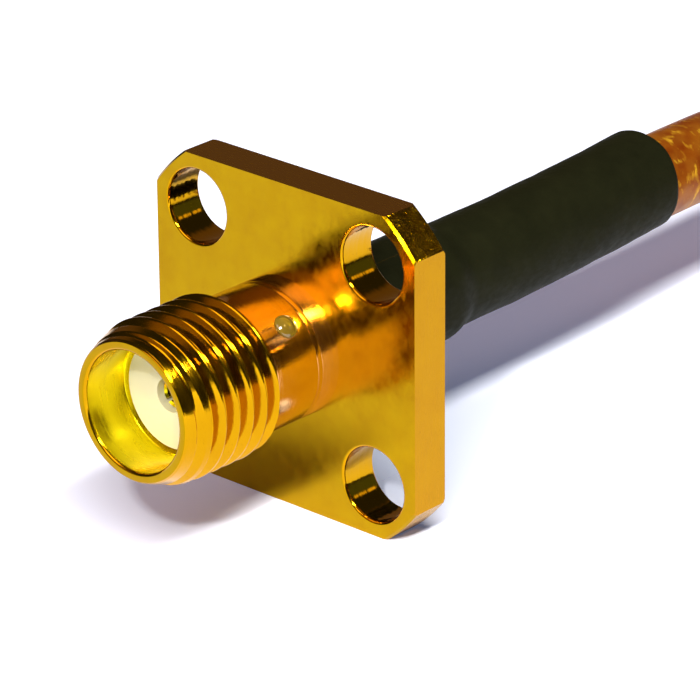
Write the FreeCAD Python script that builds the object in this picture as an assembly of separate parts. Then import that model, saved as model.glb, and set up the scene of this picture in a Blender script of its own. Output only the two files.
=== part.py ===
import FreeCAD, Part
import math
import os

# Panel jack: a coaxial socket on a square four-hole flange, crimped to a short coaxial cable.
# Millimetres. The origin is where the jack's axis meets the front face of the flange.
# +Z is up, the open mouth faces -Y and the cable leaves towards +Y.
# The flange stands on its lower edge, and the cable drops behind it to the same surface.

# Flange: a plate milled square from round bar, so its corners keep the bar's curve
flange_side = 12.70
flange_thickness = 1.65
flange_corner_cut = 0.93
flange_edge_break = 0.06
hole_edge_distance = 2.03
hole_radius = 1.45
hole_edge_break = 0.07

# Barrel in front of the flange. The coupling thread is left as a plain land at its major size.
barrel_length = 8.00
barrel_radius = 2.70
thread_radius = 3.12
thread_start = 1.18
thread_end = 4.40
thread_runout = 0.30
mouth_radius = 2.67
mouth_edge_break = 0.05
scribe_distance = 0.98
scribe_width = 0.24
scribe_depth = 0.04

# Mating face inside the barrel
socket_bore_radius = 2.30
socket_bore_depth = 2.00
bore_edge_break = 0.15
insulator_radius = 2.06

# Inside of the body, measured back from the front face of the flange
insulator_seat = 0.60
rear_bore_radius = 1.50
rear_bore_end = 2.40

# Boss and crimp stem behind the flange
boss_radius = 2.45
boss_length = 1.35
boss_edge_break = 0.15
stem_length = 5.40
stem_wall = 0.30
stem_clearance = 0.04
grip_pitch = 1.20
grip_width = 0.25
grip_depth = 0.05

# Centre contact: sprung fingers in front, a neck for the epoxy, a solder cup behind
contact_radius = 0.635
contact_recess = 0.25
contact_edge_break = 0.08
pin_socket_radius = 0.47
contact_web = 0.75
finger_slot_width = 0.15
finger_slot_setback = 0.40
neck_radius = 0.42
contact_rear_gap = 0.10
cup_depth = 1.70
solder_hole_radius = 0.20
solder_hole_setback = 0.90
contact_clearance = 0.02

# Epoxy that locks the contact, poured through a hole drilled right across the barrel
epoxy_hole_radius = 0.45
epoxy_hole_distance = 1.93
epoxy_hole_angle = 45.0

# Coaxial cable: wire, white core, two braids, jacket
conductor_radius = 0.255
core_radius = 0.76
braid_thickness = 0.24
cable_radius = 1.69
braid_setback = 0.30
braid_taper_length = 0.60

# Crimp ferrule: pressed to a hexagon, with a short round bell left at its front
ferrule_radius = 2.05
ferrule_length = 4.80
ferrule_bell_length = 0.70
ferrule_gap = 0.10

# Shrink sleeve over boss, ferrule and cable
sleeve_gap = 0.10
sleeve_length = 18.20
sleeve_wall_on_ferrule = 0.31
sleeve_wall_on_cable = 0.34
sleeve_clearance = 0.01
sleeve_bulge_setback = 0.60
sleeve_taper_length = 1.10
sleeve_end_break = 0.22

# Length by which a cutter runs past what it cuts
cutter_overrun = 1.0

# Coil of the spare cable and its stripped end
coil_radius = 18.0
coil_layers = 2
coil_join_setback = 4.0
strip_outer_braid = 2.0
strip_inner_braid = 2.7
strip_core = 3.9
strip_wire = 5.6

# Sizes that follow from the ones above
floor_z = -flange_side / 2
flange_bar_radius = flange_side / math.sqrt(2) - flange_corner_cut
hole_spacing = flange_side - 2 * hole_edge_distance
mouth_y = -barrel_length
reference_y = mouth_y + socket_bore_depth
boss_rear = flange_thickness + boss_length
stem_rear = boss_rear + stem_length
stem_bore_radius = core_radius + stem_clearance
stem_radius = stem_bore_radius + stem_wall
contact_front = reference_y + contact_recess
contact_rear = rear_bore_end - contact_rear_gap
contact_bore_radius = contact_radius + contact_clearance
solder_hole_y = contact_rear - solder_hole_setback
epoxy_y = -epoxy_hole_distance
neck_front = epoxy_y - epoxy_hole_radius
neck_rear = epoxy_y + epoxy_hole_radius
pin_socket_end = neck_front - contact_web
finger_slot_end = pin_socket_end - finger_slot_setback
inner_braid_radius = core_radius + braid_thickness
outer_braid_radius = inner_braid_radius + braid_thickness
ferrule_front = boss_rear + ferrule_gap
ferrule_rear = ferrule_front + ferrule_length
braid_front = boss_rear + braid_setback
jacket_front = stem_rear + braid_taper_length
sleeve_front = boss_rear + sleeve_gap
sleeve_rear = sleeve_front + sleeve_length
cable_floor_z = floor_z + cable_radius

ORIGIN = FreeCAD.Vector(0, 0, 0)
AXIS = FreeCAD.Vector(0, 1, 0)
UP = FreeCAD.Vector(0, 0, 1)

# Centre line of the cable from the front of its jacket to the coil: across, back, up
cable_route = [
    FreeCAD.Vector(0.00, jacket_front, 0.0),
    FreeCAD.Vector(0.00, jacket_front + 5.5, 0.0),
    FreeCAD.Vector(-0.40, jacket_front + 13.5, 0.0),
    FreeCAD.Vector(-1.00, jacket_front + 21.0, -0.45),
    FreeCAD.Vector(-2.05, jacket_front + 28.3, -2.75),
    FreeCAD.Vector(-3.40, jacket_front + 35.3, cable_floor_z),
    FreeCAD.Vector(-4.95, jacket_front + 42.2, cable_floor_z),
]
sleeved_points = 3


def turned(points):
    """Solid turned about the jack's axis from (distance along Y, radius) points."""
    corners = [FreeCAD.Vector(radius, y, 0) for y, radius in points]
    face = Part.Face(Part.makePolygon(corners + corners[:1]))
    return face.revolve(ORIGIN, AXIS, 360)


def tube(front, rear, outer, inner):
    return turned([(front, inner), (front, outer), (rear, outer), (rear, inner)])


def radial_drill(radius, y, angle, reach):
    """Cylinder that crosses the axis at y, turned by an angle from +X towards +Z."""
    direction = FreeCAD.Vector(math.cos(math.radians(angle)), 0, math.sin(math.radians(angle)))
    start = FreeCAD.Vector(0, y, 0) - direction * reach
    return Part.makeCylinder(radius, 2 * reach, start, direction)


def flange_plate():
    half = flange_side / 2
    square = Part.makeBox(
        flange_side, flange_thickness, flange_side, FreeCAD.Vector(-half, 0, -half)
    )
    bar = Part.makeCylinder(flange_bar_radius, flange_thickness, ORIGIN, AXIS)
    plate = square.common(bar)
    rim = [edge for edge in plate.Edges if edge.BoundBox.YLength < 1e-6]
    plate = plate.makeChamfer(flange_edge_break, rim)
    for x in (-hole_spacing / 2, hole_spacing / 2):
        for z in (-hole_spacing / 2, hole_spacing / 2):
            drill = screw_hole()
            drill.translate(FreeCAD.Vector(x, 0, z))
            plate = plate.cut(drill)
    return plate


def screw_hole():
    """Cutter for a screw hole, with both edges broken."""
    wide = hole_radius + hole_edge_break
    return turned([
        (-cutter_overrun, 0),
        (-cutter_overrun, wide),
        (0, wide),
        (hole_edge_break, hole_radius),
        (flange_thickness - hole_edge_break, hole_radius),
        (flange_thickness, wide),
        (flange_thickness + cutter_overrun, wide),
        (flange_thickness + cutter_overrun, 0),
    ])


def stem_grips():
    """Corners of the shallow grooves that hold the braid on the stem."""
    points = []
    grip_front = boss_rear + grip_pitch
    while grip_front + grip_width < stem_rear - grip_width:
        points += [
            (grip_front, stem_radius),
            (grip_front + grip_width / 2, stem_radius - grip_depth),
            (grip_front + grip_width, stem_radius),
        ]
        grip_front += grip_pitch
    return points


def body_outside():
    scribe_front = -scribe_distance - scribe_width / 2
    scribe_rear = -scribe_distance + scribe_width / 2
    middle = flange_thickness / 2
    front = [
        (mouth_y, 0),
        (mouth_y, mouth_radius - mouth_edge_break),
        (mouth_y + mouth_edge_break, mouth_radius),
        (mouth_y + thread_start, thread_radius),
        (mouth_y + thread_end, thread_radius),
        (mouth_y + thread_end + thread_runout, barrel_radius),
        (scribe_front, barrel_radius),
        (scribe_front, barrel_radius - scribe_depth),
        (scribe_rear, barrel_radius - scribe_depth),
        (scribe_rear, barrel_radius),
        (middle, barrel_radius),
    ]
    rear = [
        (middle, boss_radius),
        (boss_rear - boss_edge_break, boss_radius),
        (boss_rear, boss_radius - boss_edge_break),
        (boss_rear, stem_radius),
    ]
    end = [(stem_rear, stem_radius), (stem_rear, 0)]
    return turned(front + rear + stem_grips() + end)


def body_bore():
    """Cutter for the stepped bore, from the mouth through to the end of the stem."""
    wide = socket_bore_radius + bore_edge_break
    before = mouth_y - cutter_overrun
    beyond = stem_rear + cutter_overrun
    return turned([
        (before, 0),
        (before, wide),
        (mouth_y, wide),
        (mouth_y + bore_edge_break, socket_bore_radius),
        (reference_y, socket_bore_radius),
        (reference_y, insulator_radius),
        (insulator_seat, insulator_radius),
        (insulator_seat, rear_bore_radius),
        (rear_bore_end, rear_bore_radius),
        (rear_bore_end, stem_bore_radius),
        (beyond, stem_bore_radius),
        (beyond, 0),
    ])


def epoxy_drill():
    return radial_drill(epoxy_hole_radius, epoxy_y, epoxy_hole_angle, 2 * thread_radius)


def jack_body():
    body = flange_plate().fuse(body_outside())
    body = body.cut(body_bore())
    return body.cut(epoxy_drill()).removeSplitter()


def front_insulator():
    bead = tube(reference_y, insulator_seat, insulator_radius, contact_bore_radius)
    return bead.cut(epoxy_drill())


def rear_insulator():
    return tube(insulator_seat, rear_bore_end, rear_bore_radius, contact_bore_radius)


def contact_outside():
    return turned([
        (contact_front, 0),
        (contact_front, contact_radius - contact_edge_break),
        (contact_front + contact_edge_break, contact_radius),
        (neck_front, contact_radius),
        (neck_front, neck_radius),
        (neck_rear, neck_radius),
        (neck_rear, contact_radius),
        (contact_rear, contact_radius),
        (contact_rear, 0),
    ])


def pin_socket():
    """Cutter for the hole that takes the mating pin, with a flared lip and a drilled end."""
    lip = pin_socket_radius + contact_edge_break
    drill_point = pin_socket_radius * math.tan(math.radians(31))
    return turned([
        (contact_front - cutter_overrun, 0),
        (contact_front - cutter_overrun, lip),
        (contact_front, lip),
        (contact_front + contact_edge_break, pin_socket_radius),
        (pin_socket_end, pin_socket_radius),
        (pin_socket_end + drill_point, 0),
    ])


def finger_slots():
    """Two saw cuts at right angles, which leave four spring fingers."""
    reach = 2 * contact_radius
    saw_front = contact_front - cutter_overrun
    cuts = []
    for turn in (45, 135):
        saw = Part.makeBox(
            finger_slot_width, finger_slot_end - saw_front, 2 * reach,
            FreeCAD.Vector(-finger_slot_width / 2, saw_front, -reach),
        )
        saw.rotate(ORIGIN, AXIS, turn)
        cuts.append(saw)
    return cuts


def solder_hole():
    start = FreeCAD.Vector(0, solder_hole_y, 0)
    return Part.makeCylinder(solder_hole_radius, 2 * contact_radius, start, UP)


def centre_contact():
    contact = contact_outside().cut(pin_socket())
    for saw in finger_slots():
        contact = contact.cut(saw)
    cup_radius = conductor_radius + contact_clearance
    cup = turned([
        (contact_rear - cup_depth, 0),
        (contact_rear - cup_depth, cup_radius),
        (contact_rear + cutter_overrun, cup_radius),
        (contact_rear + cutter_overrun, 0),
    ])
    return contact.cut(cup).cut(solder_hole())


def contact_solder():
    """Solder that fills the hole in the side of the cup, down to the wire."""
    return solder_hole().common(tube(mouth_y, stem_rear, contact_radius, conductor_radius))


def epoxy_plug():
    """Bar across the barrel and the ring round the contact's neck, one casting."""
    bar = epoxy_drill().common(tube(mouth_y, 0, barrel_radius, 0))
    ring = tube(neck_front, neck_rear, contact_bore_radius, neck_radius)
    return bar.fuse(ring).cut(contact_outside()).removeSplitter()


def braid(over_stem_radius, in_cable_radius):
    """Braid folded over the stem, closing on the core behind the end of the stem."""
    return turned([
        (braid_front, over_stem_radius),
        (braid_front, over_stem_radius + braid_thickness),
        (stem_rear, over_stem_radius + braid_thickness),
        (jacket_front, in_cable_radius + braid_thickness),
        (jacket_front, in_cable_radius),
        (stem_rear, over_stem_radius),
    ])


def inner_braid():
    return braid(stem_radius, core_radius)


def outer_braid():
    return braid(stem_radius + braid_thickness, inner_braid_radius)


def cable_core():
    return tube(rear_bore_end, jacket_front, core_radius, conductor_radius)


def centre_conductor():
    return tube(contact_rear - cup_depth, jacket_front, conductor_radius, 0)


def crimp_ferrule():
    corners = []
    for corner in range(6):
        angle = math.radians(60 * corner + 30)
        corners.append(FreeCAD.Vector(
            ferrule_radius * math.cos(angle), ferrule_front, ferrule_radius * math.sin(angle)
        ))
    hexagon = Part.Face(Part.makePolygon(corners + corners[:1]))
    pressed = hexagon.extrude(AXIS * ferrule_length)
    bell = tube(ferrule_front, ferrule_front + ferrule_bell_length, ferrule_radius, 0)
    bore_radius = stem_radius + 2 * braid_thickness
    bore = tube(
        ferrule_front - cutter_overrun, ferrule_rear + cutter_overrun, bore_radius, 0
    )
    return pressed.fuse(bell).cut(bore).removeSplitter()


def bend_radius(before, corner, after):
    """Radius of the arc at a corner of a route, as large as its two runs allow."""
    run = min((corner - before).Length, (after - corner).Length)
    turn = (corner - before).getAngle(after - corner)
    return 0.45 * run / math.tan(turn / 2)


def route_wire(points):
    """Straight runs joined by tangent arcs."""
    edges = []
    start = points[0]
    for before, corner, after in zip(points, points[1:], points[2:]):
        reach = 0.45 * min((corner - before).Length, (after - corner).Length)
        arrive = (corner - before).normalize()
        leave = (after - corner).normalize()
        turn = arrive.getAngle(leave)
        arc_start = corner - arrive * reach
        arc_end = corner + leave * reach
        inward = (leave - arrive).normalize()
        radius = bend_radius(before, corner, after)
        arc_middle = corner + inward * (radius / math.cos(turn / 2) - radius)
        edges.append(Part.LineSegment(start, arc_start).toShape())
        edges.append(Part.Arc(arc_start, arc_middle, arc_end).toShape())
        start = arc_end
    edges.append(Part.LineSegment(start, points[-1]).toShape())
    return Part.Wire(edges)


def swept(points, radius):
    """Round bar along a route, and the length of its centre line."""
    wire = route_wire(points)
    section = Part.Wire(Part.Circle(points[0], points[1] - points[0], radius).toShape())
    return wire.makePipeShell([section], True, False), wire.Length


def beyond_plane(point, direction):
    """Large block that holds everything past a plane."""
    size = 400.0
    block = Part.makeBox(size, size, size, FreeCAD.Vector(-size / 2, -size / 2, 0))
    block.Placement = FreeCAD.Placement(point, FreeCAD.Rotation(UP, direction))
    return block


def shrink_sleeve():
    """Sleeve that bulges over the ferrule and then follows the cable."""
    slim = cable_radius + sleeve_wall_on_cable
    full = ferrule_radius + sleeve_wall_on_ferrule
    grip = ferrule_radius + sleeve_clearance
    followed = cable_route[:sleeved_points]
    outside, _ = swept(followed, slim)
    outside = outside.fuse(turned([
        (sleeve_front, 0),
        (sleeve_front, full),
        (ferrule_rear - sleeve_bulge_setback, full),
        (ferrule_rear - sleeve_bulge_setback + sleeve_taper_length, slim),
        (jacket_front + braid_taper_length, slim),
        (jacket_front + braid_taper_length, 0),
    ]))
    cut_off = beyond_plane(FreeCAD.Vector(0, sleeve_rear, 0), AXIS)
    outside = outside.cut(cut_off).removeSplitter()
    lip = [
        edge for edge in outside.Edges
        if abs(edge.CenterOfMass.y - sleeve_rear) < 1e-3 and edge.BoundBox.YLength < 1e-3
    ]
    outside = outside.makeChamfer(sleeve_end_break, lip)
    inside, _ = swept(followed, cable_radius)
    inside = inside.fuse(turned([
        (sleeve_front - cutter_overrun, 0),
        (sleeve_front - cutter_overrun, grip),
        (ferrule_rear, grip),
        (ferrule_rear + sleeve_taper_length, cable_radius),
        (jacket_front + braid_taper_length, cable_radius),
        (jacket_front + braid_taper_length, 0),
    ]))
    return outside.cut(inside)


def coil_centre():
    """The coil turns to the right of the way that the cable reaches it."""
    arrive = (cable_route[-1] - cable_route[-2]).normalize()
    sideways = arrive.cross(UP)
    return cable_route[-1] + sideways * coil_radius


def cable_coil():
    """Outer shape of the stacked turns: a ring as wide as the cable."""
    centre = coil_centre()
    height = 2 * cable_radius * coil_layers
    bottom = centre - UP * cable_radius
    ring = Part.makeCylinder(coil_radius + cable_radius, height, bottom)
    return ring.cut(Part.makeCylinder(coil_radius - cable_radius, height, bottom))


def tail_route():
    """Centre line from the top turn of the coil to the end of the jacket."""
    start = coil_centre() + FreeCAD.Vector(coil_radius, 0, 2 * cable_radius * (coil_layers - 1))
    return [
        start,
        start + FreeCAD.Vector(0.0, -7.0, 0.0),
        start + FreeCAD.Vector(0.1, -12.5, -1.80),
        start + FreeCAD.Vector(0.5, -17.2, -3.13),
    ]


def cable_lead():
    lead, length = swept(cable_route, cable_radius)
    report_cord("cable_lead", cable_route, lead, length)
    arrive = (cable_route[-1] - cable_route[-2]).normalize()
    join = cable_route[-1] - arrive * coil_join_setback
    return lead.cut(beyond_plane(join, arrive)).cut(cable_coil())


def cable_tail():
    route = tail_route()
    tail, length = swept(route, cable_radius)
    report_cord("cable_tail", route, tail, length)
    leave = (route[1] - route[0]).normalize()
    join = route[0] + leave * coil_join_setback
    return tail.cut(beyond_plane(join, leave * -1)).cut(cable_coil())


def report_cord(name, points, solid, length):
    """Print each bend radius, and the volume against the section times the length."""
    radii = [bend_radius(*three) for three in zip(points, points[1:], points[2:])]
    section = math.pi * cable_radius ** 2
    print(name, "radii", [round(radius, 1) for radius in radii])
    print(name, "length", round(length, 2), "volume ratio", round(solid.Volume / section / length, 5))


def stripped(outer, inner, length):
    """One layer of the stripped end, straight on from the end of the jacket."""
    route = tail_route()
    direction = (route[-1] - route[-2]).normalize()
    layer = Part.makeCylinder(outer, length, route[-1], direction)
    if inner > 0:
        layer = layer.cut(Part.makeCylinder(inner, length, route[-1], direction))
    return layer


def tail_outer_braid():
    return stripped(outer_braid_radius, inner_braid_radius, strip_outer_braid)


def tail_inner_braid():
    return stripped(inner_braid_radius, core_radius, strip_inner_braid)


def tail_core():
    return stripped(core_radius, conductor_radius, strip_core)


def tail_wire():
    return stripped(conductor_radius, 0, strip_wire)


pieces = [
    jack_body,
    front_insulator,
    rear_insulator,
    centre_contact,
    contact_solder,
    epoxy_plug,
    crimp_ferrule,
    inner_braid,
    outer_braid,
    cable_core,
    centre_conductor,
    shrink_sleeve,
    cable_lead,
    cable_coil,
    cable_tail,
    tail_outer_braid,
    tail_inner_braid,
    tail_core,
    tail_wire,
]

os.makedirs("parts", exist_ok=True)
for piece in pieces:
    shape = piece()
    shape.exportStep("parts/" + piece.__name__ + ".step")
    print(piece.__name__, len(shape.Solids), round(shape.Volume, 4), shape.isValid())
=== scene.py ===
import math

import bmesh
import bpy
from mathutils import Matrix, Vector, noise


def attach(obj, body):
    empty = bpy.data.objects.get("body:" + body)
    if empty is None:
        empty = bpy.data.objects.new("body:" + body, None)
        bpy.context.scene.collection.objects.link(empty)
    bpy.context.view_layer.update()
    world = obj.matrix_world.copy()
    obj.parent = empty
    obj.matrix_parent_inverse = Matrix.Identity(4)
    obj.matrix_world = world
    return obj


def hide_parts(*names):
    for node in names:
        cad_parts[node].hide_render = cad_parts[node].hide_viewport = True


MM = 0.001
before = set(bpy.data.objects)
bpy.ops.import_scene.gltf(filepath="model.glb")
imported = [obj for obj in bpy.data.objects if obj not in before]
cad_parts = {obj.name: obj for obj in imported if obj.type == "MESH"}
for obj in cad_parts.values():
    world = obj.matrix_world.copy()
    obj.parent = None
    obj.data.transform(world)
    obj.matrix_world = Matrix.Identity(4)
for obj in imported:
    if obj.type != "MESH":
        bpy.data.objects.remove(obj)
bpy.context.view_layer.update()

# Sizes in millimetres, as in the part's source. The jack's axis is Y and its mouth faces -Y.
FLANGE_SIDE = 12.70
FLANGE_THICKNESS = 1.65
FLANGE_CORNER_CUT = 0.93
HOLE_EDGE_DISTANCE = 2.03
HOLE_RADIUS = 1.45
MOUTH_Y = -8.00
MOUTH_RADIUS = 2.67
BARREL_RADIUS = 2.70
THREAD_RADIUS = 3.12
THREAD_PITCH = 25.4 / 36
THREAD_START_Y = MOUTH_Y + 1.18
THREAD_CREST_Y = -3.562
THREAD_END_Y = MOUTH_Y + 4.40
THREAD_RUNOUT = 0.32
BARREL_SPLIT_Y = -3.18
REFERENCE_Y = MOUTH_Y + 2.00
SOCKET_RADIUS = 2.30
INSULATOR_RADIUS = 2.06
INSULATOR_SEAT_Y = 0.60
REAR_BORE_RADIUS = 1.50
REAR_BORE_END_Y = 2.40
EPOXY_Y = -1.93
EPOXY_RADIUS = 0.45
EPOXY_ANGLE = 45.0
BOSS_RADIUS = 2.45
BOSS_LENGTH = 1.35
STEM_RADIUS = 1.10
STEM_BORE_RADIUS = 0.80
STEM_LENGTH = 5.40
GRIP_PITCH = 1.20
GRIP_WIDTH = 0.25
GRIP_DEPTH = 0.05
CABLE_RADIUS = 1.69
SLEEVE_FRONT_Y = 3.10
SLEEVE_REAR_Y = 21.30

BAR_RADIUS = FLANGE_SIDE / math.sqrt(2) - FLANGE_CORNER_CUT
HOLE_OFFSET = FLANGE_SIDE / 2 - HOLE_EDGE_DISTANCE
FLOOR_Z = -FLANGE_SIDE / 2
BOSS_REAR_Y = FLANGE_THICKNESS + BOSS_LENGTH
FLANK_SLOPE = math.tan(math.radians(60))
# A round root of this radius touches both flanks and the barrel's radius
ROOT_ROUND = THREAD_PITCH * 7 / 16 * FLANK_SLOPE - (THREAD_RADIUS - BARREL_RADIUS)
# Profiles that reach the axis stop this short of it, so that their rings keep open
NEAR_AXIS = 0.001


def ease(value, start, span):
    """Zero up to start, one from start + span on, and a smooth step between."""
    share = min(1.0, max(0.0, (value - start) / span))
    return share * share * (3 - 2 * share)


# Shader graphs
def add(tree, kind, inputs=None, **settings):
    """New shader node. Inputs are sockets to link from, or values."""
    node = tree.nodes.new("ShaderNode" + kind)
    for name, value in settings.items():
        setattr(node, name, value)
    for name, value in (inputs or {}).items():
        if isinstance(value, bpy.types.NodeSocket):
            tree.links.new(value, node.inputs[name])
        else:
            node.inputs[name].default_value = value
    return node


def surface(name, **values):
    """Material with a Principled shader, and its tree."""
    material = bpy.data.materials.new(name)
    material.use_nodes = True
    tree = material.node_tree
    shader = tree.nodes["Principled BSDF"]
    for socket, value in values.items():
        shader.inputs[socket.replace("_", " ")].default_value = value
    return material, tree, shader


def position(tree, scale):
    """Object position in millimetres, stretched by scale along each axis."""
    here = add(tree, "TexCoord").outputs["Object"]
    factors = tuple(1000 * s for s in scale)
    return add(tree, "VectorMath", {0: here, 1: factors}, operation="MULTIPLY").outputs[0]


def noise_value(tree, vector, detail=2.0, roughness=0.5):
    return add(tree, "TexNoise", {
        "Vector": vector, "Scale": 1.0, "Detail": detail, "Roughness": roughness,
    }).outputs["Fac"]


def ramp(tree, value, low, high, start=0.3, end=0.7):
    """Value from low to high as its input goes from start to end."""
    return add(tree, "MapRange", {
        "Value": value, "From Min": start, "From Max": end, "To Min": low, "To Max": high,
    }).outputs["Result"]


def blend_colour(tree, factor, first, second):
    """First colour where the factor is 0 and second where it is 1. Each is a socket or three values."""
    node = add(tree, "Mix", data_type="RGBA")
    tree.links.new(factor, node.inputs[0])
    for socket, colour in ((6, first), (7, second)):
        if isinstance(colour, bpy.types.NodeSocket):
            tree.links.new(colour, node.inputs[socket])
        else:
            node.inputs[socket].default_value = (*colour, 1.0)
    return node.outputs[2]


def maths(tree, operation, first, second=0.0):
    return add(tree, "Math", {0: first, 1: second}, operation=operation).outputs[0]


def bump(tree, shader, height, strength, distance=0.00002, normal=None):
    """Relief from a height, of a distance in metres, on top of another relief if one is given."""
    inputs = {"Height": height, "Strength": strength, "Distance": distance}
    if normal is not None:
        inputs["Normal"] = normal
    result = add(tree, "Bump", inputs).outputs["Normal"]
    tree.links.new(result, shader.inputs["Normal"])
    return result


def gold(name, colour, marks_scale, marks_strength, roughness, mottle=0.25, stain=0.0):
    """Gold plate. The scale says how finely the tool marks repeat along each axis, per mm."""
    material, tree, shader = surface(name, Metallic=1.0)
    marks = noise_value(tree, position(tree, marks_scale), detail=4.0, roughness=0.65)
    cloud = noise_value(tree, position(tree, (0.9, 0.9, 0.9)), detail=5.0, roughness=0.6)
    speck = noise_value(tree, position(tree, (9, 9, 9)), detail=2.0, roughness=0.5)
    deep = (colour[0] * 0.86, colour[1] * 0.76, colour[2] * 0.6)
    brown = (colour[0] * 0.45, colour[1] * 0.30, colour[2] * 0.4)
    tint = blend_colour(tree, ramp(tree, cloud, 0.0, mottle), colour, deep)
    dots = ramp(tree, speck, 0.0, 0.4 + stain, 0.68, 0.78)
    tint = blend_colour(tree, dots, tint, brown)
    tree.links.new(tint, shader.inputs["Base Color"])
    spread = ramp(tree, marks, -0.30 * roughness, 0.45 * roughness, 0.35, 0.65)
    cloudy = ramp(tree, cloud, 0.9 * roughness, 1.15 * roughness)
    tree.links.new(maths(tree, "ADD", cloudy, spread), shader.inputs["Roughness"])
    first = bump(tree, shader, marks, marks_strength)
    bump(tree, shader, speck, 0.5 * marks_strength, normal=first)
    return material


# Gold plate as its surfaces show it: milled, turned, threaded and bored. All are one plating, but each
# surface gets its own lighter, darker, oranger or greener copy of the colour, which paints the light
# and reflections that surface shows; the turned copy's raised blue paints whiter highlights.
YELLOW = (0.42, 0.250, 0.001)
ORANGE = (0.49, 0.238, 0.001)
BRIGHT = (0.95, 0.54, 0.200)
THREAD = (0.57, 0.290, 0.003)
GREENISH = (0.73, 0.60, 0.006)
gold_turned = gold("gold_turned", BRIGHT, (0.35, 9, 0.35), 0.22, 0.13, mottle=0.15)
gold_thread = gold("gold_thread", THREAD, (1.0, 6, 1.0), 0.16, 0.13, mottle=0.4)
gold_bore = gold("gold_bore", GREENISH, (0.6, 5, 0.6), 0.12, 0.20)
gold_face = gold("gold_face", YELLOW, (2.6, 1, 1.8), 0.022, 0.17, mottle=0.8)
gold_side = gold("gold_side", ORANGE, (3, 11, 0.8), 0.12, 0.20, mottle=0.4)
gold_bar = gold("gold_bar", THREAD, (2, 2, 2), 4.0, 0.20, mottle=1.0, stain=0.6)
gold_drilled = gold("gold_drilled", THREAD, (0.5, 5, 0.5), 0.12, 0.09)
gold_contact = gold("gold_contact", GREENISH, (0.8, 20, 0.8), 0.30, 0.16)


def plastic(name, colour, second, roughness, grain, strength, **values):
    """Plain material between two colours, cloudy, with a fine grain."""
    material, tree, shader = surface(name, **values)
    cloud = noise_value(tree, position(tree, (0.7, 0.7, 0.7)), detail=4.0, roughness=0.6)
    marks = noise_value(tree, position(tree, grain), detail=3.0, roughness=0.6)
    tree.links.new(
        blend_colour(tree, ramp(tree, cloud, 0.0, 1.0), colour, second),
        shader.inputs["Base Color"],
    )
    tree.links.new(
        ramp(tree, marks, roughness - 0.06, roughness + 0.08), shader.inputs["Roughness"]
    )
    bump(tree, shader, marks, strength)
    return material


# The PTFE is white: the olive-yellow tint of both its colours paints the gold light it catches in the
# mouth and the shade there.
ptfe = plastic("ptfe", (0.74, 0.72, 0.54), (0.70, 0.68, 0.49), 0.35, (1, 9, 1), 0.2)
# The yellow specular tint paints an olive glow from the gold into the sleeve's sheen.
sleeve_black = plastic(
    "sleeve_black", (0.008, 0.009, 0.003), (0.005, 0.006, 0.002), 0.66, (4, 2.5, 4), 0.6,
    Specular_IOR_Level=0.10, Specular_Tint=(1.0, 0.82, 0.42, 1.0),
)
resin = plastic(
    "resin", (0.24, 0.15, 0.012), (0.15, 0.09, 0.008), 0.08, (3, 3, 3), 0.0,
    Transmission_Weight=0.25, IOR=1.5, Coat_Weight=1.0, Coat_Roughness=0.03,
)
solder = plastic(
    "solder_grey", (0.62, 0.62, 0.64), (0.50, 0.50, 0.53), 0.25, (6, 6, 6), 0.4, Metallic=1.0
)


# Strands each way round the cable, how many millimetres apart they cross under the jacket, and
# how many radians the bare braid's strands turn in a millimetre
BRAID_STRANDS = 8
BRAID_LAY = 1.55
BARE_BRAID_TWIST = 4.5


def braid_metal():
    """Silver-plated braid, seen bare. Two sets of crossing strands round the Y axis."""
    material, tree, shader = surface("silver_braid", Metallic=1.0)
    split = add(tree, "SeparateXYZ", {0: position(tree, (1, 1, 1))})
    angle = maths(tree, "ARCTAN2", split.outputs["X"], split.outputs["Z"])
    along = maths(tree, "MULTIPLY", split.outputs["Y"], BARE_BRAID_TWIST)
    around = maths(tree, "MULTIPLY", angle, BRAID_STRANDS)
    one = maths(tree, "SINE", maths(tree, "ADD", along, around))
    two = maths(tree, "SINE", maths(tree, "SUBTRACT", along, around))
    weave = maths(tree, "MAXIMUM", one, two)
    fine = noise_value(tree, position(tree, (12, 12, 12)), detail=2.0)
    # Darker between the strands: painted shade in the gaps of the weave.
    tint = ramp(tree, weave, 0.0, 1.0, -0.6, 0.9)
    tree.links.new(
        blend_colour(tree, tint, (0.35, 0.33, 0.30), (0.86, 0.84, 0.80)),
        shader.inputs["Base Color"],
    )
    tree.links.new(ramp(tree, fine, 0.22, 0.40), shader.inputs["Roughness"])
    bump(tree, shader, weave, 1.0, distance=0.00006)
    return material


silver_braid = braid_metal()
silver_wire = plastic(
    "silver_wire", (0.85, 0.83, 0.79), (0.78, 0.76, 0.71), 0.22, (2, 10, 2), 0.2, Metallic=1.0
)


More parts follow.
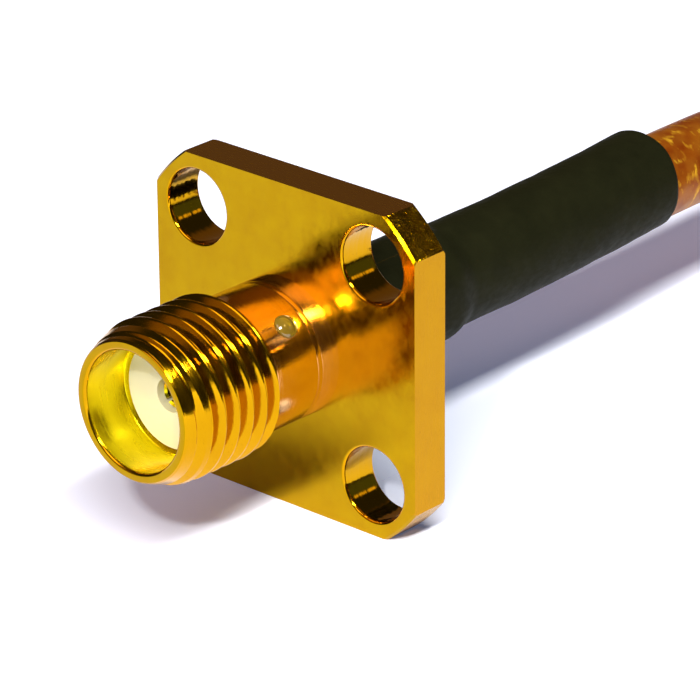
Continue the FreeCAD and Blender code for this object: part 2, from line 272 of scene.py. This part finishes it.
def cable_skin():
    """Clear brown jacket over a braid: the strands show through it, with painted glints on them and a
    yellow-tinted sheen, and the skin is glossy.
    """
    # The yellow specular tint paints a warm reflected glow into the jacket's sheen.
    material, tree, shader = surface(
        "cable_skin", Metallic=0.30, Specular_IOR_Level=0.25, Coat_Weight=0.03,
        Coat_Roughness=0.12, Specular_Tint=(1.0, 0.75, 0.30, 1.0),
    )
    uv = add(tree, "UVMap", uv_map="UVMap").outputs["UV"]
    split = add(tree, "SeparateXYZ", {0: uv})
    along = maths(tree, "MULTIPLY", split.outputs["X"], 2 * math.pi / BRAID_LAY)
    around = maths(tree, "MULTIPLY", split.outputs["Y"], 2 * math.pi * BRAID_STRANDS)
    one = maths(tree, "SINE", maths(tree, "ADD", along, around))
    two = maths(tree, "SINE", maths(tree, "SUBTRACT", along, around))
    weave = maths(tree, "MULTIPLY", maths(tree, "ADD", one, two), 0.5)

    def streaks(lengthwise, crosswise):
        stretch = (lengthwise, crosswise, 1.0)
        stretched = add(tree, "VectorMath", {0: uv, 1: stretch}, operation="MULTIPLY").outputs[0]
        return noise_value(tree, stretched, detail=3.0)

    cloud = streaks(0.9, 9.0)
    fleck = streaks(2.6, 16.0)
    colour = blend_colour(tree, ramp(tree, cloud, 0.0, 1.0, 0.35, 0.65),
                          (0.185, 0.026, 0.001), (0.30, 0.085, 0.004))
    colour = blend_colour(tree, ramp(tree, weave, 0.0, 0.35, -0.6, 0.9), colour,
                          (0.30, 0.105, 0.007))
    # Painted glints: bright yellow flecks where the strands lie highest under the jacket.
    bright = maths(tree, "MULTIPLY", ramp(tree, fleck, 0.0, 1.0, 0.54, 0.68),
                   ramp(tree, weave, 0.25, 1.0, -0.5, 0.8))
    colour = blend_colour(tree, bright, colour, (0.70, 0.38, 0.018))
    tree.links.new(colour, shader.inputs["Base Color"])
    tree.links.new(ramp(tree, fleck, 0.30, 0.44), shader.inputs["Roughness"])
    bump(tree, shader, weave, 0.25, distance=0.00004)
    return material


cable_brown = cable_skin()


# Mesh builders
def smooth(mesh, sharp):
    """Smooth shading, apart from edges sharper than so many degrees."""
    for polygon in mesh.polygons:
        polygon.use_smooth = True
    mesh.set_sharp_from_angle(angle=math.radians(sharp))


def scratch_object(name, mesh):
    made = bpy.data.objects.new(name, mesh)
    bpy.context.scene.collection.objects.link(made)
    return made


def dress(made, materials, sharp):
    """Makes an object a piece of the jack, which has only one body."""
    for material in materials:
        made.data.materials.append(material)
    smooth(made.data, sharp)
    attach(made, "root")
    return made


def piece(name, mesh, materials, sharp=35):
    return dress(scratch_object(name, mesh), materials, sharp)


def skin(name, rings, closed=True):
    """Mesh over rings of points in millimetres. Closed joins the last ring to the first one,
    and otherwise both end rings are filled.
    """
    count = len(rings[0])
    points = [tuple(MM * c for c in point) for ring in rings for point in ring]
    faces = []
    last = len(rings) if closed else len(rings) - 1
    for i in range(last):
        near = i * count
        far = (i + 1) % len(rings) * count
        for j in range(count):
            k = (j + 1) % count
            faces.append((near + j, near + k, far + k, far + j))
    if not closed:
        faces.append(tuple(range(count - 1, -1, -1)))
        faces.append(tuple(range(last * count, (last + 1) * count)))
    mesh = bpy.data.meshes.new(name)
    mesh.from_pydata(points, [], faces)
    face_out(mesh)
    return mesh


def face_out(mesh):
    """Turns every face's front to the outside."""
    work = bmesh.new()
    work.from_mesh(mesh)
    bmesh.ops.recalc_face_normals(work, faces=work.faces)
    work.to_mesh(mesh)
    work.free()


def angles(segments):
    """Angles of a ring's points, in radians."""
    return [2 * math.pi * j / segments for j in range(segments)]


def round_ring(y, radius, segments):
    """Points of a circle about the jack's axis."""
    return [(radius * math.cos(t), y, radius * math.sin(t)) for t in angles(segments)]


def turned(name, profile, segments=192):
    """Closed profile of (y, radius) turned about the jack's axis."""
    return skin(name, [round_ring(y, radius, segments) for y, radius in profile])


def carve(target, cutter, operation):
    """Exact boolean on the target's mesh. The cutter is used up."""
    change = target.modifiers.new("cut", "BOOLEAN")
    change.operation = operation
    change.object = cutter
    change.solver = "EXACT"
    bake(target)
    bpy.data.objects.remove(cutter)


def bake(target):
    """Applies the target's modifiers to its mesh."""
    bpy.context.view_layer.update()
    result = bpy.data.meshes.new_from_object(
        target.evaluated_get(bpy.context.evaluated_depsgraph_get())
    )
    target.modifiers.clear()
    target.data = result


# Camera, from the photo
CAMERA_AZIMUTH = math.radians(42.257)
CAMERA_ELEVATION = math.radians(23.495)
CAMERA_ROLL = math.radians(-0.441)
CAMERA_DISTANCE = 173.084
CAMERA_TARGET = Vector((3.239, 0.0, 0.729))
CAMERA_LENS = 246.74
CAMERA_SENSOR = 36.0

back = Vector((
    math.sin(CAMERA_AZIMUTH) * math.cos(CAMERA_ELEVATION),
    -math.cos(CAMERA_AZIMUTH) * math.cos(CAMERA_ELEVATION),
    math.sin(CAMERA_ELEVATION),
))
level = Vector((math.cos(CAMERA_AZIMUTH), math.sin(CAMERA_AZIMUTH), 0.0))
upright = back.cross(level)
across = math.cos(CAMERA_ROLL) * level + math.sin(CAMERA_ROLL) * upright
upward = -math.sin(CAMERA_ROLL) * level + math.cos(CAMERA_ROLL) * upright
camera = bpy.data.objects.new("camera", bpy.data.cameras.new("camera"))
camera.data.sensor_width = CAMERA_SENSOR
camera.data.lens = CAMERA_LENS
camera.data.clip_start = 0.01
camera.data.clip_end = 20.0
turn = Matrix((across, upward, back)).transposed().to_4x4()
camera.matrix_world = Matrix.Translation((CAMERA_TARGET + CAMERA_DISTANCE * back) * MM) @ turn
bpy.context.scene.collection.objects.link(camera)
bpy.context.scene.camera = camera

# Cable route
COIL_RADIUS = 18.0
COIL_STEP = 22.5
COIL_POINTS = 25
# The coil climbs from its first layer to its second between these angles, in degrees
RISE_START = 258.0
RISE_SPAN = 70.0
cable_floor = FLOOR_Z + CABLE_RADIUS
cable_route = [
    (0.00, 9.0, 0.0),
    (0.00, 14.5, 0.0),
    (-0.40, 22.5, 0.0),
    (-1.00, 30.0, -0.45),
    (-2.05, 37.3, -2.75),
    (-3.40, 44.3, cable_floor),
]
coil_start = Vector((-4.95, 51.2, cable_floor))
arrive = (coil_start - Vector(cable_route[-1])).normalized()
coil_centre = coil_start + arrive.cross(Vector((0, 0, 1))) * COIL_RADIUS
first_angle = math.atan2(coil_start.y - coil_centre.y, coil_start.x - coil_centre.x)
# A spline of this order passes inside its points, so the points stand further out
stand_off = COIL_RADIUS / (0.75 + 0.25 * math.cos(math.radians(COIL_STEP)))
coil_points = []
for index in range(COIL_POINTS):
    wound = (index + 0.5) * COIL_STEP
    angle = first_angle - math.radians(wound)
    coil_points.append((
        coil_centre.x + stand_off * math.cos(angle),
        coil_centre.y + stand_off * math.sin(angle),
        cable_floor + 2 * CABLE_RADIUS * ease(wound, RISE_START, RISE_SPAN),
    ))
tail_start = coil_centre + Vector((COIL_RADIUS, 0.0, 2 * CABLE_RADIUS))
tail_points = [
    tuple(tail_start + Vector(step))
    for step in ((0.0, -7.0, 0.0), (0.1, -12.5, -1.80), (0.5, -17.2, -3.13))
]


def spline_points(name, points, resolution=10):
    """Points read off a smooth curve that has the given control points, in millimetres."""
    curve = bpy.data.curves.new(name, "CURVE")
    curve.dimensions = "3D"
    curve.resolution_u = resolution
    spline = curve.splines.new("NURBS")
    spline.points.add(len(points) - 1)
    for target, point in zip(spline.points, points):
        target.co = (*[c * MM for c in point], 1.0)
    spline.order_u = 3
    spline.use_endpoint_u = True
    made = scratch_object(name, curve)
    bpy.context.view_layer.update()
    mesh = bpy.data.meshes.new_from_object(
        made.evaluated_get(bpy.context.evaluated_depsgraph_get())
    )
    found = [vertex.co / MM for vertex in mesh.vertices]
    bpy.data.objects.remove(made)
    bpy.data.meshes.remove(mesh)
    return found


def carried_frames(points):
    """Each point with the two vectors across the line there, carried along without twist."""
    frames = []
    side = Vector((1, 0, 0))
    for index, point in enumerate(points):
        before = points[max(0, index - 1)]
        after = points[min(len(points) - 1, index + 1)]
        ahead = (after - before).normalized()
        side = (side - ahead * side.dot(ahead)).normalized()
        frames.append((point, side, ahead.cross(side)))
    return frames


def tube(name, points, radius, segments=40):
    """Closed round tube along points, with a map of length along and turn around."""
    rings = []
    lengths = [0.0]
    for a, b in zip(points, points[1:]):
        lengths.append(lengths[-1] + (b - a).length)
    for point, side, other in carried_frames(points):
        rings.append([
            point + radius * (math.cos(t) * side + math.sin(t) * other) for t in angles(segments)
        ])
    mesh = skin(name, rings, closed=False)
    layer = mesh.uv_layers.new(name="UVMap")
    for polygon in mesh.polygons:
        turns = [mesh.loops[i].vertex_index % segments for i in polygon.loop_indices]
        wraps = max(turns) - min(turns) > segments / 2
        for i, around in zip(polygon.loop_indices, turns):
            row = mesh.loops[i].vertex_index // segments
            share = around / segments + (1.0 if wraps and around < segments / 2 else 0.0)
            layer.data[i].uv = (lengths[row], share)
    return mesh


centre_line = spline_points("cable_line", cable_route + coil_points + tail_points)
cable = piece("cable", tube("cable", centre_line, CABLE_RADIUS), [cable_brown])
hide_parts("cable_lead", "cable_coil", "cable_tail")

# Flange
EDGE_CHAMFER = 0.085
EDGE_ROUND = 0.022
HOLE_ROUND = 0.11
# Depths behind the flange's front face where the drill left a ring, and how deep each is
DRILL_RINGS = ((0.34, 0.003), (0.62, 0.002), (0.80, 0.004), (1.12, 0.002))
DRILL_RING_WIDTH = 0.10


def flange():
    """Slice of chamfered round bar, milled square, drilled and bored."""
    within = 0.5
    before = -1.0
    beyond = 3.0
    disc = turned("flange", [
        (0.0, within), (0.0, BAR_RADIUS - EDGE_CHAMFER), (EDGE_CHAMFER, BAR_RADIUS),
        (FLANGE_THICKNESS - EDGE_CHAMFER, BAR_RADIUS),
        (FLANGE_THICKNESS, BAR_RADIUS - EDGE_CHAMFER), (FLANGE_THICKNESS, within),
    ], segments=512)
    plate = scratch_object("flange", disc)
    carve(plate, scratch_object("block", square_block()), "INTERSECT")
    edge = plate.modifiers.new("edge", "BEVEL")
    edge.width = EDGE_ROUND * MM
    edge.segments = 2
    edge.limit_method = "ANGLE"
    edge.angle_limit = math.radians(50)
    bake(plate)
    for x in (-HOLE_OFFSET, HOLE_OFFSET):
        for z in (-HOLE_OFFSET, HOLE_OFFSET):
            cutter = scratch_object("drill", turned("drill", drill_profile(), segments=160))
            cutter.location = (x * MM, 0, z * MM)
            carve(plate, cutter, "DIFFERENCE")
    bore = turned("bore", [
        (before, NEAR_AXIS), (before, INSULATOR_RADIUS), (INSULATOR_SEAT_Y, INSULATOR_RADIUS),
        (INSULATOR_SEAT_Y, REAR_BORE_RADIUS), (beyond, REAR_BORE_RADIUS), (beyond, NEAR_AXIS),
    ], segments=128)
    carve(plate, scratch_object("bore", bore), "DIFFERENCE")
    return plate


def square_block():
    """Block with the flange's four sides, deeper than the flange."""
    depth = 4.0
    work = bmesh.new()
    bmesh.ops.create_cube(work, size=1.0)
    for vertex in work.verts:
        x, y, z = vertex.co
        vertex.co = Vector((FLANGE_SIDE * x, depth * y + FLANGE_THICKNESS / 2, FLANGE_SIDE * z)) * MM
    block = bpy.data.meshes.new("block")
    work.to_mesh(block)
    work.free()
    return block


def edge_round(start, towards, radius, size, steps=5):
    """Corners of a rounded edge, from the flat face at start into a hole of that radius."""
    corners = []
    for step in range(steps + 1):
        turned_by = math.pi / 2 * step / steps
        corners.append((
            start + towards * size * (1 - math.cos(turned_by)),
            radius + size * (1 - math.sin(turned_by)),
        ))
    return corners


def drill_profile():
    """Screw hole with rounded edges and the faint rings that a drill leaves."""
    wide = HOLE_RADIUS + HOLE_ROUND
    before = -1.0
    beyond = FLANGE_THICKNESS + 1.0
    profile = [(before, NEAR_AXIS), (before, wide)] + edge_round(0.0, 1, HOLE_RADIUS, HOLE_ROUND)
    for start, depth in DRILL_RINGS:
        profile += [
            (start, HOLE_RADIUS),
            (start + DRILL_RING_WIDTH / 2, HOLE_RADIUS + depth),
            (start + DRILL_RING_WIDTH, HOLE_RADIUS),
        ]
    profile += edge_round(FLANGE_THICKNESS, -1, HOLE_RADIUS, HOLE_ROUND)[::-1]
    return profile + [(beyond, wide), (beyond, NEAR_AXIS)]


def paint_flange(mesh):
    """Which finish each face has: milled faces, sides, bar corners or drilled holes. Each finish's gold
    colour also paints the light its faces show.
    """
    side = FLANGE_SIDE / 2 - 0.03
    corner = BAR_RADIUS - 0.12
    for polygon in mesh.polygons:
        x, y, z = polygon.center / MM
        normal = polygon.normal
        if abs(normal.y) > 0.9:
            polygon.material_index = 0
        elif max(abs(x), abs(z)) > side:
            polygon.material_index = 1
        elif math.hypot(x, z) > corner:
            polygon.material_index = 2 if abs(normal.y) < 0.4 else 0
        else:
            polygon.material_index = 3


def keep_faces_flat(mesh):
    """Sharp edges round the milled faces and sides, so that round edges don't bend their shine."""
    work = bmesh.new()
    work.from_mesh(mesh)
    for edge in work.edges:
        flat = [max(abs(part) for part in face.normal) > 0.9999 for face in edge.link_faces]
        if any(flat) and not all(flat):
            edge.smooth = False
    work.to_mesh(mesh)
    work.free()


plate = dress(flange(), (gold_face, gold_side, gold_bar, gold_drilled), sharp=40)
plate.data.name = "flange"
paint_flange(plate.data)
keep_faces_flat(plate.data)
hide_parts("jack_body")


# Threaded barrel
def thread_height(y, angle):
    """Radius of the right-hand thread with flat crests and round roots."""
    turns = (y - THREAD_CREST_Y) / THREAD_PITCH + angle / (2 * math.pi)
    away = abs(turns - round(turns)) * THREAD_PITCH
    half_crest = THREAD_PITCH / 16
    half_pitch = THREAD_PITCH / 2
    if away > half_pitch - ROOT_ROUND * math.sin(math.radians(60)):
        rise = math.sqrt(ROOT_ROUND ** 2 - (half_pitch - away) ** 2)
        return BARREL_RADIUS + ROOT_ROUND - rise
    # The crest's edges are worn a little round
    wear = 0.03
    if away < half_crest + wear:
        share = max(0.0, (away - half_crest + wear) / (2 * wear))
        return THREAD_RADIUS - wear * FLANK_SLOPE * share * share
    return THREAD_RADIUS - (away - half_crest) * FLANK_SLOPE


def barrel_radius(y, angle):
    """The thread, between its cone at the mouth and its run-out."""
    height = THREAD_RADIUS - BARREL_RADIUS
    widening = (THREAD_RADIUS - MOUTH_RADIUS) / (THREAD_START_Y - MOUTH_Y)
    cone = MOUTH_RADIUS + (y - MOUTH_Y) * widening
    ending = THREAD_RADIUS + (THREAD_END_Y - y) * height / THREAD_RUNOUT
    return max(min(thread_height(y, angle), cone, ending), min(cone, BARREL_RADIUS))


def threaded_barrel(segments=288, rows=280):
    """Threaded front of the body, with the socket bore inside."""
    lead = 0.15
    rim = 0.06
    corner = 0.03
    profile = [
        (BARREL_SPLIT_Y, INSULATOR_RADIUS), (REFERENCE_Y + 0.001, INSULATOR_RADIUS),
        (REFERENCE_Y, INSULATOR_RADIUS + 0.02), (REFERENCE_Y, SOCKET_RADIUS - corner),
        (REFERENCE_Y - corner, SOCKET_RADIUS), (MOUTH_Y + 1.0, SOCKET_RADIUS),
    ]
    profile += edge_round(MOUTH_Y, 1, SOCKET_RADIUS, lead, steps=8)[::-1]
    # The rim's outer corner is round too, from the mouth's face out to its full radius
    steps = 5
    for step in range(steps + 1):
        turned_by = math.pi / 2 * step / steps
        profile.append((
            MOUTH_Y + rim * (1 - math.cos(turned_by)),
            MOUTH_RADIUS - rim + rim * math.sin(turned_by),
        ))
    rings = [round_ring(y, radius, segments) for y, radius in profile]
    start = MOUTH_Y + rim + 0.02
    for row in range(rows + 1):
        y = start + (BARREL_SPLIT_Y - start) * row / rows
        ring = []
        for t in angles(segments):
            radius = barrel_radius(y, t)
            ring.append((radius * math.cos(t), y, radius * math.sin(t)))
        rings.append(ring)
    return skin("threaded_barrel", rings)


barrel = piece("threaded_barrel", threaded_barrel(),
               [gold_thread, gold_bore, gold_face], sharp=60)
# The bore and the face of the mouth have finishes of their own, whose gold colours also paint the light
# each shows
for polygon in barrel.data.polygons:
    x, y, z = polygon.center / MM
    if math.hypot(x, z) < SOCKET_RADIUS + 0.01:
        polygon.material_index = 1
    elif y < MOUTH_Y + 0.01:
        polygon.material_index = 2
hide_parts("jack_body")

# Plain part of the barrel
SCRIBED_LINES_Y = (-1.10, -0.86)
SCRIBED_WIDTH = 0.03
SCRIBED_DEPTH = 0.005
EPOXY_CHAMFER = 0.05


def plain_barrel():
    """Barrel between the thread and the flange, with two scribed lines and the epoxy's hole."""
    rear = 0.4
    profile = [
        (rear, INSULATOR_RADIUS), (BARREL_SPLIT_Y, INSULATOR_RADIUS),
        (BARREL_SPLIT_Y, BARREL_RADIUS),
    ]
    for middle in SCRIBED_LINES_Y:
        profile += [
            (middle - SCRIBED_WIDTH / 2, BARREL_RADIUS),
            (middle, BARREL_RADIUS - SCRIBED_DEPTH),
            (middle + SCRIBED_WIDTH / 2, BARREL_RADIUS),
        ]
    profile.append((rear, BARREL_RADIUS))
    shape = scratch_object("plain_barrel", turned("plain_barrel", profile, segments=288))
    beyond = 5
    wide = EPOXY_RADIUS + EPOXY_CHAMFER
    outer = BARREL_RADIUS - 0.01
    inner = outer - EPOXY_CHAMFER
    drill = turned("epoxy_drill", [
        (-beyond, NEAR_AXIS), (-beyond, wide), (-outer, wide), (-inner, EPOXY_RADIUS),
        (inner, EPOXY_RADIUS), (outer, wide), (beyond, wide), (beyond, NEAR_AXIS),
    ], segments=64)
    cutter = scratch_object("epoxy_drill", drill)
    cutter.matrix_world = across_barrel()
    carve(shape, cutter, "DIFFERENCE")
    return shape


def across_barrel():
    """Places something made along Y across the barrel, where the epoxy is."""
    angle = math.radians(EPOXY_ANGLE)
    direction = Vector((math.cos(angle), 0, math.sin(angle)))
    place = Vector((0, EPOXY_Y * MM, 0))
    return Matrix.Translation(place) @ direction.to_track_quat("Y", "Z").to_matrix().to_4x4()


ring_part = dress(plain_barrel(), [gold_turned], sharp=35)
ring_part.data.name = "plain_barrel"
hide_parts("jack_body")


# Boss and crimp stem
def boss_profile():
    """Turned rear of the body: boss, stem with three grooves that grip, and the bore in them."""
    front = 1.2
    # How far before the boss's rear face and inside its radius its broken corner goes
    corner = ((0.16, 0.0), (0.04, 0.11), (0.0, 0.16))
    profile = [(front, REAR_BORE_RADIUS), (front, BOSS_RADIUS)]
    profile += [(BOSS_REAR_Y - before, BOSS_RADIUS - inside) for before, inside in corner]
    profile.append((BOSS_REAR_Y, STEM_RADIUS))
    for count in (1, 2, 3):
        groove = BOSS_REAR_Y + count * GRIP_PITCH
        profile += [
            (groove, STEM_RADIUS), (groove + GRIP_WIDTH / 2, STEM_RADIUS - GRIP_DEPTH),
            (groove + GRIP_WIDTH, STEM_RADIUS),
        ]
    stem_rear = BOSS_REAR_Y + STEM_LENGTH
    return profile + [
        (stem_rear, STEM_RADIUS), (stem_rear, STEM_BORE_RADIUS),
        (REAR_BORE_END_Y, STEM_BORE_RADIUS), (REAR_BORE_END_Y, REAR_BORE_RADIUS),
    ]


boss = piece("boss_and_stem", turned("boss_and_stem", boss_profile()), [gold_turned])
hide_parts("jack_body")


# Resin
def bead(name, side):
    """Drop of resin that stands in a mouth of the epoxy hole."""
    radius = EPOXY_RADIUS - 0.01
    foot = BARREL_RADIUS - 0.30
    brim = BARREL_RADIUS - 0.06
    dome = 0.19
    steps = 9
    segments = 48
    rings = [round_ring(foot, 0.999 * radius, segments)]
    for step in range(steps):
        share = 1 - step / steps
        height = brim + dome * math.sqrt(1 - share ** 2)
        rings.append(round_ring(height, radius * share, segments))
    mesh = skin(name, rings, closed=False)
    mesh.transform(across_barrel() @ Matrix.Rotation(math.pi * side, 4, "X"))
    return piece(name, mesh, [resin], sharp=60)


for side, name in enumerate(("epoxy_bead_front", "epoxy_bead_rear")):
    bead(name, side)


# Shrink sleeve, with its radii over the pressed ferrule (full) and on the cable (slim)
SLEEVE_FULL = 2.36
SLEEVE_SLIM = 2.03
SLEEVE_BORE_FULL = 2.06
SLEEVE_BORE_SLIM = CABLE_RADIUS + 0.015
SLEEVE_TAPER_Y = 7.35
SLEEVE_TAPER = 1.25
SLEEVE_BORE_TAPER_Y = 7.9
SLEEVE_BORE_TAPER = 1.1
SLEEVE_ROUND = 0.22
# The six flats of the ferrule show through from here on
HEXAGON_Y = 3.9
HEXAGON_LEAD = 0.8
HEXAGON_DEPTH = 0.10
# Behind this place the sleeve leans by so much to the left and up, in the first ten millimetres
LEAN_Y = 11.0
LEAN_SPAN = 10.0
LEAN_LEFT = 0.42
LEAN_UP = 0.14


def sleeve_radius(y, angle):
    """Outer radius: over the pressed ferrule it is a soft hexagon, then round on the cable."""
    drop = ease(y, SLEEVE_TAPER_Y, SLEEVE_TAPER)
    radius = SLEEVE_FULL + (SLEEVE_SLIM - SLEEVE_FULL) * drop
    on_ferrule = min(1.0, max(0.0, (y - HEXAGON_Y) / HEXAGON_LEAD)) * (1 - drop)
    hexagon = 0.5 + 0.5 * math.cos(6 * (angle - math.radians(30)))
    radius -= HEXAGON_DEPTH * on_ferrule * (1 - hexagon)
    place = Vector((math.cos(angle) * 0.9, y * 0.35, math.sin(angle) * 0.9))
    return radius + 0.035 * noise.noise(place * 1.3) + 0.012 * noise.noise(place * 5.0)


def sleeve_bore(y, angle):
    """Inner radius, the same all round: it narrows from the ferrule to the cable."""
    drop = min(1.0, max(0.0, (y - SLEEVE_BORE_TAPER_Y) / SLEEVE_BORE_TAPER))
    return SLEEVE_BORE_FULL + (SLEEVE_BORE_SLIM - SLEEVE_BORE_FULL) * drop


def sleeve_centre(y):
    """The sleeve leans with the cable, up and to the left at its rear."""
    share = max(0.0, (y - LEAN_Y) / LEAN_SPAN) ** 1.5
    return Vector((-LEAN_LEFT * share, y, LEAN_UP * share))


def sleeve_end(angle):
    """Rear edge, cut by hand and drawn up a little unevenly."""
    place = Vector((math.cos(angle), math.sin(angle), 0.0))
    return SLEEVE_REAR_Y - 0.02 + 0.14 * noise.noise(place * 1.2 + Vector((3.1, 0.4, 0)))


def shrink_sleeve(segments=96, rows=150):
    """Tube from its front edge to its rounded rear edge, and back along its inside."""
    rings = []

    def ring(along, radius_at, inset=0.0):
        points = []
        for t in angles(segments):
            y = SLEEVE_FRONT_Y + (sleeve_end(t) - inset - SLEEVE_FRONT_Y) * along
            radius = radius_at(y, t)
            points.append(
                sleeve_centre(y) + Vector((radius * math.cos(t), 0, radius * math.sin(t)))
            )
        rings.append(points)

    ring(0, lambda y, t: sleeve_bore(y, t) + 0.01)
    ring(0, lambda y, t: sleeve_radius(y, t) - 0.06)
    for row in range(rows + 1):
        ring(0.002 + 0.998 * row / rows, sleeve_radius, inset=SLEEVE_ROUND)
    for turn_share in (0.35, 0.7, 1.0):
        lift = SLEEVE_ROUND * math.sin(turn_share * math.pi / 2)
        shrink = 0.20 * (1 - math.cos(turn_share * math.pi / 2))
        ring(1, lambda y, t: sleeve_radius(y, t) - shrink, inset=SLEEVE_ROUND - lift)
    ring(1, lambda y, t: SLEEVE_BORE_SLIM + 0.03)
    ring(1, lambda y, t: SLEEVE_BORE_SLIM, inset=0.05)
    # The rows inside stand closest where the bore narrows
    for share in (0.85, 0.7, 0.55, 0.4, 0.345, 0.33, 0.31, 0.29, 0.275, 0.2, 0.1, 0.01):
        ring(share, sleeve_bore)
    return skin("shrink_sleeve_skin", rings)


sleeve = piece("shrink_sleeve_skin", shrink_sleeve(), [sleeve_black], sharp=50)
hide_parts("shrink_sleeve")

# Finishes of the CAD pieces
finishes = {
    "front_insulator": (ptfe, "ptfe"),
    "rear_insulator": (ptfe, "ptfe"),
    "cable_core": (ptfe, "ptfe"),
    "tail_core": (ptfe, "ptfe"),
    "centre_contact": (gold_contact, "gold_plate"),
    "crimp_ferrule": (gold_turned, "gold_plate"),
    "contact_solder": (solder, "solder"),
    "epoxy_plug": (resin, "epoxy"),
    "inner_braid": (silver_braid, "silver_braid"),
    "outer_braid": (silver_braid, "silver_braid"),
    "tail_outer_braid": (silver_braid, "silver_braid"),
    "tail_inner_braid": (silver_braid, "silver_braid"),
    "centre_conductor": (silver_wire, "silver_wire"),
    "tail_wire": (silver_wire, "silver_wire"),
}
for node, (material, slot) in finishes.items():
    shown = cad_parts[node]
    shown.data.materials.clear()
    shown.data.materials.append(material)

# Floor and light
work = bmesh.new()
bmesh.ops.create_circle(work, cap_ends=True, segments=96, radius=3.0)
floor_mesh = bpy.data.meshes.new("floor")
work.to_mesh(floor_mesh)
work.free()
floor = bpy.data.objects.new("floor", floor_mesh)
floor.location = (0, 0, FLOOR_Z * MM)
bpy.context.scene.collection.objects.link(floor)


def paper():
    """White paper. The camera and reflections see it a little brighter and bluer than it is lit."""
    material, tree, shader = surface(
        "paper", Base_Color=(0.86, 0.88, 0.96, 1), Roughness=0.9, Specular_IOR_Level=0.0,
        Emission_Color=(0.20, 0.45, 1.0, 1),
    )
    rays = add(tree, "LightPath")
    seen = maths(tree, "MAXIMUM", rays.outputs["Is Camera Ray"], rays.outputs["Is Glossy Ray"])
    seen = maths(tree, "MAXIMUM", seen, rays.outputs["Is Transmission Ray"])
    tree.links.new(maths(tree, "MULTIPLY", seen, 0.14), shader.inputs["Emission Strength"])
    return material


floor_mesh.materials.append(paper())

world = bpy.data.worlds.new("studio")
world.use_nodes = True
bpy.context.scene.world = world
tree = world.node_tree
ray = add(tree, "TexCoord").outputs["Generated"]
background = tree.nodes["Background"]


def patch(direction, outer, inner):
    """One inside a cone of inner degrees about a direction, and zero outside the outer one."""
    facing = add(
        tree, "VectorMath", {0: ray, 1: Vector(direction).normalized()}, operation="DOT_PRODUCT"
    ).outputs["Value"]
    return add(tree, "MapRange", {
        "Value": facing, "From Min": math.cos(math.radians(outer)),
        "From Max": math.cos(math.radians(inner)), "To Min": 0.0, "To Max": 1.0,
    }, interpolation_type="SMOOTHSTEP").outputs["Result"]


# What the gold mirrors: a dark room with a few lit places. Each has its direction, the degrees
# from it where the light ends and where it is full, and its colour. They lie behind on the left,
# behind on the right, in a spot above that, low in front on the left, and high in front.
DARK_ROOM = (0.026, 0.026, 0.026)
LIT_PLACES = (
    ((-0.62, 0.68, 0.40), 38, 20, (0.15, 0.095, 0.05)),
    ((0.66, 0.68, 0.30), 17, 10, (0.09, 0.12, 0.18)),
    ((0.536, 0.679, 0.503), 4.5, 2.0, (1.3, 1.0, 0.6)),
    ((-0.42, -0.86, 0.30), 22, 10, (0.30, 0.16, 0.08)),
    ((-0.06, -0.68, 0.73), 22, 14, (2.9, 2.2, 2.2)),
)
sky = DARK_ROOM
for direction, outer, inner, colour in LIT_PLACES:
    sky = blend_colour(tree, patch(direction, outer, inner), sky, colour)
tree.links.new(sky, background.inputs["Color"])
background.inputs["Strength"].default_value = 1.0

# The key is a long strip above the jack's side, along its axis. A small bright lamp stands
# in line with it, further to the front.
STRIP_OUT = Vector((0.545, 0.0, 0.838))
STRIP_DISTANCE = 0.40


def lamp(name, front, rear, width, radiance):
    """Flat lamp along Y that faces the jack, from front to rear as shares of its distance."""
    made = bpy.data.objects.new(name, bpy.data.lights.new(name, "AREA"))
    made.data.shape = "RECTANGLE"
    made.data.size = width
    made.data.size_y = (rear - front) * STRIP_DISTANCE
    made.data.energy = radiance * math.pi * made.data.size * made.data.size_y
    middle = Vector((0, (front + rear) / 2, 0))
    along = Vector((0, 1, 0))
    turned_to = Matrix((along.cross(STRIP_OUT), along, STRIP_OUT))
    made.matrix_world = (
        Matrix.Translation((STRIP_OUT + middle) * STRIP_DISTANCE) @ turned_to.transposed().to_4x4()
    )
    bpy.context.scene.collection.objects.link(made)


lamp("strip", -0.85, -0.08, 0.062, 52.0)
lamp("spark", -0.98, -0.86, 0.023, 640.0)

bpy.context.scene.view_settings.view_transform = "Standard"
